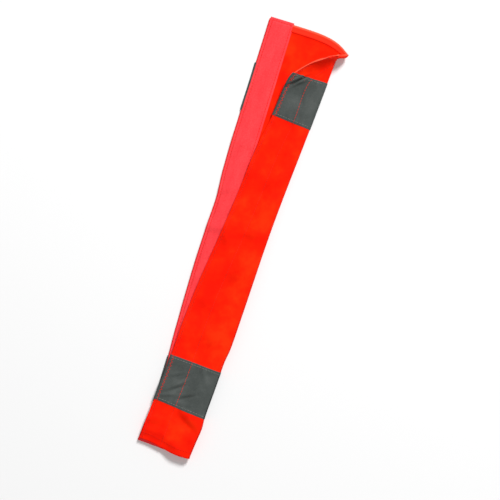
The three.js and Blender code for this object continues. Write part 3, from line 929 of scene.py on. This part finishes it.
def tape_stitching():
    # Two rows along the loop tape, and one across it at each end.
    v = row(ROW_START, ROW_END)
    sides = (SEAM_INSET, TAPE_WIDTH - SEAM_INSET)
    rows = [holes(from_back_edge(x, v), v, GROUND_START + 0.5, True) for x in sides]
    x = row(*sides)
    for end in (1.2, LENGTH - 3):
        across = np.full_like(x, end)
        rows.append(holes(from_back_edge(x, across), across, GROUND_START + 0.62, True))
    obj = stitches("loop_tape_stitching", rows, TAPE_THREAD)
    finish(obj, None, ["loop_tape_outer_seam", "loop_tape_inner_seam"], "back")

    # The hook tape's zigzag at the free edge and its straight inner row, which comes nearer the edge at the mouth.
    v = row(1.5, ROW_END, ZIGZAG_PITCH)
    zigzag = ZIGZAG_INSET + ZIGZAG_WIDTH * (np.arange(len(v)) % 2)
    obj = stitches("hook_tape_zigzag", [holes(from_free_edge(zigzag, v), v, over_bands(v))], RED_THREAD, fill=0.92)
    finish(obj, None, ["hook_tape_edge_seam"], "fold")
    v = row(24, ROW_END)
    inset_row = TAPE_WIDTH - SEAM_INSET - 3 * smooth((110 - v) / 70)
    obj = stitches("hook_tape_inner_stitching", [holes(from_free_edge(inset_row, v), v, over_bands(v))], RED_THREAD)
    finish(obj, None, ["hook_tape_inner_seam"], "fold")


def band_stitching(name, start):
    seams = (start + SEAM_INSET, start + BAND_WIDTH - SEAM_INSET)
    sides = ("mouth_side", "tail_side")
    obj = stitches(f"{name}_band_stitching_flap", [row_across_flap(v, ON_BAND) for v in seams], GREY_THREAD)
    finish(obj, None, [f"{name}_band_{side}_seam_flap" for side in sides], "fold")
    rows = [row_across_back(v, IN_CLOTH, BESIDE_TAPE, True) for v in seams]
    rows += [row_across_back(v, ON_BAND - 0.1, 1 - EDGE_OUT, False) for v in seams]
    obj = stitches(f"{name}_band_stitching_back", rows, TAPE_THREAD, thread=0.42)
    finish(obj, None, [f"{name}_band_{side}_seam_back" for side in sides], "back")


def hem_stitching():
    seams = (HEM_SEAM, LENGTH - HEM_SEAM)
    rows = []
    for v in seams:
        rows += [row_across_back(v, IN_HEM, BESIDE_TAPE, True), row_across_back(v, ON_CLOTH, 1, False)]
    obj = stitches("hem_stitching_back", rows, TAPE_THREAD)
    finish(obj, None, ["mouth_hem_seam_back", "tail_hem_seam_back"], "back")
    obj = stitches("hem_stitching_flap", [row_across_flap(v, ON_CLOTH) for v in seams], TAPE_THREAD)
    finish(obj, None, ["tail_hem_seam_flap"], "fold")


# ---- Camera, floor and light ----
VIEW_CENTRE = (BACK_EDGE_X + 48.8, MOUTH_Y - 230.3)      # what the camera looks down on, in millimetres
VIEW_WIDTH = 505.5
LEAN = math.radians(16.9)                                # the sleeve leans this far to the right of upright
CAMERA_HEIGHT = 2.0                                      # this and the sizes below are in metres
SENSOR_WIDTH = 36
FLOOR_HALF, FLOOR_DROP = 6.0, 0.0004
SKY_STRENGTH = 0.30
LIGHTS = [("key", (0.7, 2.8, 2.8), 1.1, 170), ("top", (0.1, -0.6, 2.6), 1.0, 12)]     # name, place, width, watts


def set_up_camera():
    camera = bpy.data.cameras.new("camera")
    camera.sensor_width = SENSOR_WIDTH
    camera.lens = SENSOR_WIDTH * CAMERA_HEIGHT / (VIEW_WIDTH * MM)
    holder = linked("camera", camera)
    holder.location = (VIEW_CENTRE[0] * MM, VIEW_CENTRE[1] * MM, CAMERA_HEIGHT)
    holder.rotation_euler = (0, 0, LEAN)
    bpy.context.scene.camera = holder


def lay_floor():
    size, low = FLOOR_HALF, -FLOOR_DROP
    mesh = bpy.data.meshes.new("floor")
    mesh.from_pydata([(-size, -size, low), (size, -size, low), (size, size, low), (-size, size, low)],
                     [], [(0, 1, 2, 3)])
    paper, _, _ = material("floor_paper", (0.86, 0.86, 0.86), 0.9)
    mesh.materials.append(paper)
    linked("floor", mesh)


def set_up_lights():
    world = bpy.data.worlds.new("studio")
    world.use_nodes = True
    sky = world.node_tree.nodes["Background"]
    sky.inputs["Color"].default_value = (1, 1, 1, 1)
    sky.inputs["Strength"].default_value = SKY_STRENGTH
    bpy.context.scene.world = world
    for name, place, width, power in LIGHTS:
        light = bpy.data.lights.new(name, "AREA")
        light.shape = "DISK"
        light.size = width
        light.energy = power
        lamp = linked(name, light)
        lamp.location = place
        aim = -np.array(place)
        pitch = math.atan2(math.hypot(aim[0], aim[1]), -aim[2])
        lamp.rotation_euler = (pitch, 0, math.atan2(aim[1], aim[0]) - math.pi / 2)
    bpy.context.scene.view_settings.view_transform = "Standard"


set_up_camera()
lay_floor()
set_up_lights()
panel_back, panel_flap = panel()
upper_back, upper_flap = band("upper", UPPER_BAND)
lower_back, lower_flap = band("lower", LOWER_BAND)
loops = loop_tape()
hooks = hook_tape()
tape_stitching()
band_stitching("upper", UPPER_BAND)
band_stitching("lower", LOWER_BAND)
hem_stitching()
